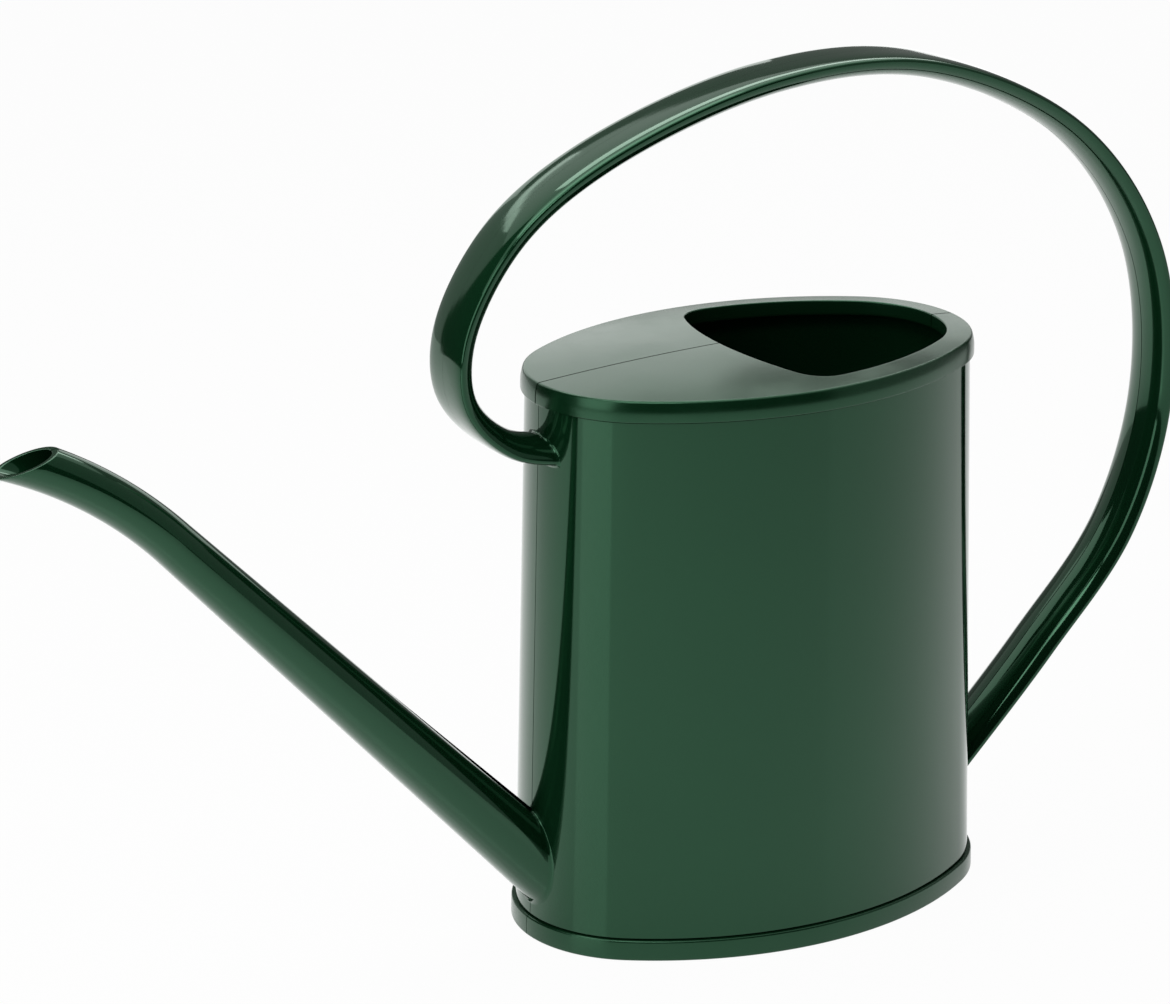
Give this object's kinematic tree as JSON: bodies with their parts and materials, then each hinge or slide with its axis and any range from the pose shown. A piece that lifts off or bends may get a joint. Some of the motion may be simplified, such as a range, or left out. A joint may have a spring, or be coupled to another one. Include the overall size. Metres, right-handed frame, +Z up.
{
  "type": "watering can",
  "caption": "Oval watering can with a long tapered spout, a large loop handle, a crowned cover with a rear filling opening, and proud bands at rim and foot.",
  "frame": {"origin": "centre of the whole can's outline, on the surface it stands on", "axes": "+X from the spout to the handle's rear loop, +Y to the can's left side, +Z up"},
  "size_m": [0.3998, 0.101, 0.2642],
  "materials": {
    "body_green": "dark green moulded plastic, high gloss",
    "band_green": "dark green moulded plastic, gloss with a faint mould texture"
  },
  "bodies": {
    "root": {"base_left": "band_green", "base_right": "band_green", "body_wall_left": "body_green", "body_wall_right": "body_green", "cover_left": "band_green", "cover_right": "band_green", "spout_left": "body_green", "spout_right": "body_green", "handle_left": "body_green", "handle_right": "body_green"}
  },
  "joints": []
}
